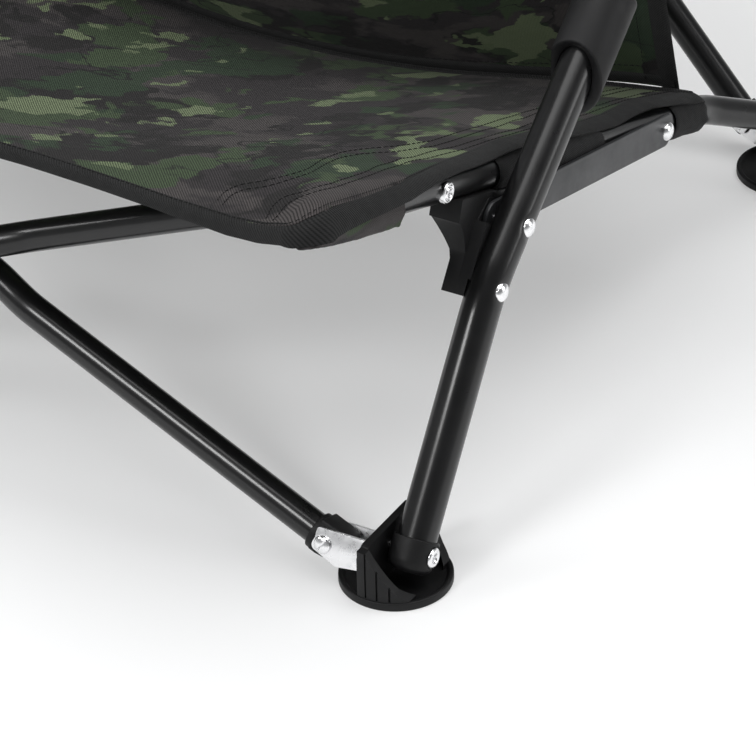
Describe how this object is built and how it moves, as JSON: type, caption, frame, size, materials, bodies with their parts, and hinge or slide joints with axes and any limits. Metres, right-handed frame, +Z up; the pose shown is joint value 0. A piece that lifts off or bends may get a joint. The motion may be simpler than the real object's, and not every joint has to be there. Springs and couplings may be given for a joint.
{
  "type": "carp fishing chair",
  "caption": "Low folding fishing chair: black tube frame with swivelling disc feet, crossed front and rear tubes, slung camouflage cloth seat and back.",
  "frame": {"origin": "middle of the bounding box at floor height", "axes": "+X to the side of the chair at the right in the front view, -Y to the front, +Z up"},
  "size_m": [0.6612, 0.684, 0.5708],
  "materials": {
    "black_tube": "semi-gloss black powder coat",
    "black_plastic": "fine matt moulded plastic",
    "grey_steel": "satin dark grey flat steel",
    "zinc_plate": "bright zinc on pressed sheet",
    "bright_rivet": "polished rivet heads",
    "camouflage_cloth": null
  },
  "bodies": {
    "foot_front_right": {"foot_front_right": "black_plastic", "foot_pin_front_right": "bright_rivet", "foot_clip_front_right": "zinc_plate", "clip_rivet_front_right": "bright_rivet"},
    "foot_front_left": {"foot_front_left": "black_plastic", "foot_pin_front_left": "bright_rivet", "foot_clip_front_left": "zinc_plate", "clip_rivet_front_left": "bright_rivet"},
    "foot_rear_right": {"foot_rear_right": "black_plastic", "foot_pin_rear_right": "bright_rivet", "foot_clip_rear_right": "zinc_plate", "clip_rivet_rear_right": "bright_rivet"},
    "foot_rear_left": {"foot_rear_left": "black_plastic", "foot_pin_rear_left": "bright_rivet", "foot_clip_rear_left": "zinc_plate", "clip_rivet_rear_left": "bright_rivet"},
    "side_frame_right": {"leg_post_right": "black_tube", "leg_cap_front_right": "black_plastic", "rail_bracket_right": "black_plastic", "leg_rivet_lower_right": "bright_rivet", "leg_rivet_upper_right": "bright_rivet", "post_collar_right": "black_plastic", "back_sling": "camouflage_cloth"},
    "link_bar_right": {"link_bar_right": "grey_steel", "bar_rivet_right": "bright_rivet"},
    "seat_rail_right": {"seat_rail_right": "black_tube", "leg_cap_rear_right": "black_plastic", "rail_eyelet_right": "bright_rivet", "seat_sling": "camouflage_cloth"},
    "side_frame_left": {"leg_post_left": "black_tube", "leg_cap_front_left": "black_plastic", "rail_bracket_left": "black_plastic", "leg_rivet_lower_left": "bright_rivet", "leg_rivet_upper_left": "bright_rivet", "post_collar_left": "black_plastic"},
    "link_bar_left": {"link_bar_left": "grey_steel", "bar_rivet_left": "bright_rivet"},
    "seat_rail_left": {"seat_rail_left": "black_tube", "leg_cap_rear_left": "black_plastic", "rail_eyelet_left": "bright_rivet"},
    "cross_front_right": {"cross_tube_front_right": "black_tube", "cross_plug_front_right": "black_plastic", "centre_rivet_front": "bright_rivet"},
    "cross_front_left": {"cross_tube_front_left": "black_tube", "cross_plug_front_left": "black_plastic"},
    "cross_rear_right": {"cross_tube_rear_right": "black_tube", "cross_plug_rear_right": "black_plastic", "centre_rivet_rear": "bright_rivet"},
    "cross_rear_left": {"cross_tube_rear_left": "black_tube", "cross_plug_rear_left": "black_plastic"},
    "upper_clip_front_right": {"upper_clip_front_right": "zinc_plate", "upper_rivet_front_right": "bright_rivet"},
    "upper_clip_front_left": {"upper_clip_front_left": "zinc_plate", "upper_rivet_front_left": "bright_rivet"},
    "upper_clip_rear_right": {"upper_clip_rear_right": "zinc_plate", "upper_rivet_rear_right": "bright_rivet"},
    "upper_clip_rear_left": {"upper_clip_rear_left": "zinc_plate", "upper_rivet_rear_left": "bright_rivet"}
  },
  "joints": [
    {"name": "fold", "type": "hinge", "parent": "foot_front_right", "child": "cross_front_right", "pos_m": [0.265, -0.28537, 0.021], "axis": [0, 0.9507, -0.3102], "range_deg": [0, 51.34], "deforming": ["seat_sling", "back_sling"]},
    {"name": "cross_front", "type": "hinge", "parent": "cross_front_right", "child": "cross_front_left", "pos_m": [0, -0.25437, 0.116], "axis": [0, 0.9507, -0.3102], "range_deg": [-102.7, 0]},
    {"name": "foot_tilt_front_left", "type": "hinge", "parent": "cross_front_left", "child": "foot_front_left", "pos_m": [-0.265, -0.28537, 0.021], "axis": [0, 0.9507, -0.3102], "range_deg": [0, 51.36]},
    {"name": "leg_right", "type": "hinge", "parent": "foot_front_right", "child": "side_frame_right", "pos_m": [0.31, -0.27237, 0.021], "axis": [1, 0, 0], "range_deg": [0, 38.02]},
    {"name": "bar_right", "type": "hinge", "parent": "side_frame_right", "child": "link_bar_right", "pos_m": [0.29745, -0.15806, 0.16754], "axis": [1, 0, 0], "range_deg": [-10.13, 0]},
    {"name": "rail_right", "type": "hinge", "parent": "link_bar_right", "child": "seat_rail_right", "pos_m": [0.29745, 0.05163, 0.117], "axis": [1, 0, 0], "range_deg": [-91.29, 0]},
    {"name": "foot_tilt_rear_right", "type": "hinge", "parent": "seat_rail_right", "child": "foot_rear_right", "pos_m": [0.31, 0.22563, 0.021], "axis": [1, 0, 0], "range_deg": [0, 77.41]},
    {"name": "cross_rear_right", "type": "hinge", "parent": "foot_rear_right", "child": "cross_rear_right", "pos_m": [0.265, 0.23863, 0.021], "axis": [0, 0.9871, -0.1602], "range_deg": [0, 31.8]},
    {"name": "leg_left", "type": "hinge", "parent": "foot_front_left", "child": "side_frame_left", "pos_m": [-0.31, -0.27237, 0.021], "axis": [1, 0, 0], "range_deg": [0, 38.02]},
    {"name": "bar_left", "type": "hinge", "parent": "side_frame_left", "child": "link_bar_left", "pos_m": [-0.29745, -0.15806, 0.16754], "axis": [1, 0, 0], "range_deg": [-10.13, 0]},
    {"name": "rail_left", "type": "hinge", "parent": "link_bar_left", "child": "seat_rail_left", "pos_m": [-0.29745, 0.05163, 0.117], "axis": [1, 0, 0], "range_deg": [-91.29, 0]},
    {"name": "foot_tilt_rear_left", "type": "hinge", "parent": "seat_rail_left", "child": "foot_rear_left", "pos_m": [-0.31, 0.22563, 0.021], "axis": [1, 0, 0], "range_deg": [0, 77.41]},
    {"name": "cross_rear_left", "type": "hinge", "parent": "foot_rear_left", "child": "cross_rear_left", "pos_m": [-0.265, 0.23863, 0.021], "axis": [0, 0.9871, -0.1602], "range_deg": [-31.8, 0]},
    {"name": "clip_front_right", "type": "hinge", "parent": "cross_front_left", "child": "upper_clip_front_right", "pos_m": [0.265, -0.22337, 0.211], "axis": [0, 0.9507, -0.3102], "range_deg": [0, 51.36]},
    {"name": "clip_front_left", "type": "hinge", "parent": "cross_front_right", "child": "upper_clip_front_left", "pos_m": [-0.265, -0.22337, 0.211], "axis": [0, 0.9507, -0.3102], "range_deg": [-51.36, 0]},
    {"name": "clip_rear_left", "type": "hinge", "parent": "cross_rear_right", "child": "upper_clip_rear_left", "pos_m": [-0.265, 0.32244, 0.53745], "axis": [0, 0.9871, -0.1602], "range_deg": [-31.8, 0]},
    {"name": "clip_rear_right", "type": "hinge", "parent": "cross_rear_left", "child": "upper_clip_rear_right", "pos_m": [0.265, 0.32244, 0.53745], "axis": [0, 0.9871, -0.1602], "range_deg": [0, 31.8]}
  ],
  "couplings": [
    {"joint": "cross_front", "follows": "fold", "ratio": -2},
    {"joint": "foot_tilt_front_left", "follows": "fold", "ratio": 1},
    {"joint": "leg_right", "follows": "fold", "ratio": 0.74018},
    {"joint": "bar_right", "follows": "fold", "ratio": -0.19693},
    {"joint": "rail_right", "follows": "fold", "ratio": -1.7778},
    {"joint": "foot_tilt_rear_right", "follows": "fold", "ratio": 1.5074},
    {"joint": "cross_rear_right", "follows": "fold", "ratio": 0.61894},
    {"joint": "leg_left", "follows": "fold", "ratio": 0.74018},
    {"joint": "bar_left", "follows": "fold", "ratio": -0.19693},
    {"joint": "rail_left", "follows": "fold", "ratio": -1.7778},
    {"joint": "foot_tilt_rear_left", "follows": "fold", "ratio": 1.5074},
    {"joint": "cross_rear_left", "follows": "fold", "ratio": -0.61894},
    {"joint": "clip_front_right", "follows": "fold", "ratio": 1},
    {"joint": "clip_front_left", "follows": "fold", "ratio": -1},
    {"joint": "clip_rear_left", "follows": "fold", "ratio": -0.61894},
    {"joint": "clip_rear_right", "follows": "fold", "ratio": 0.61894}
  ]
}
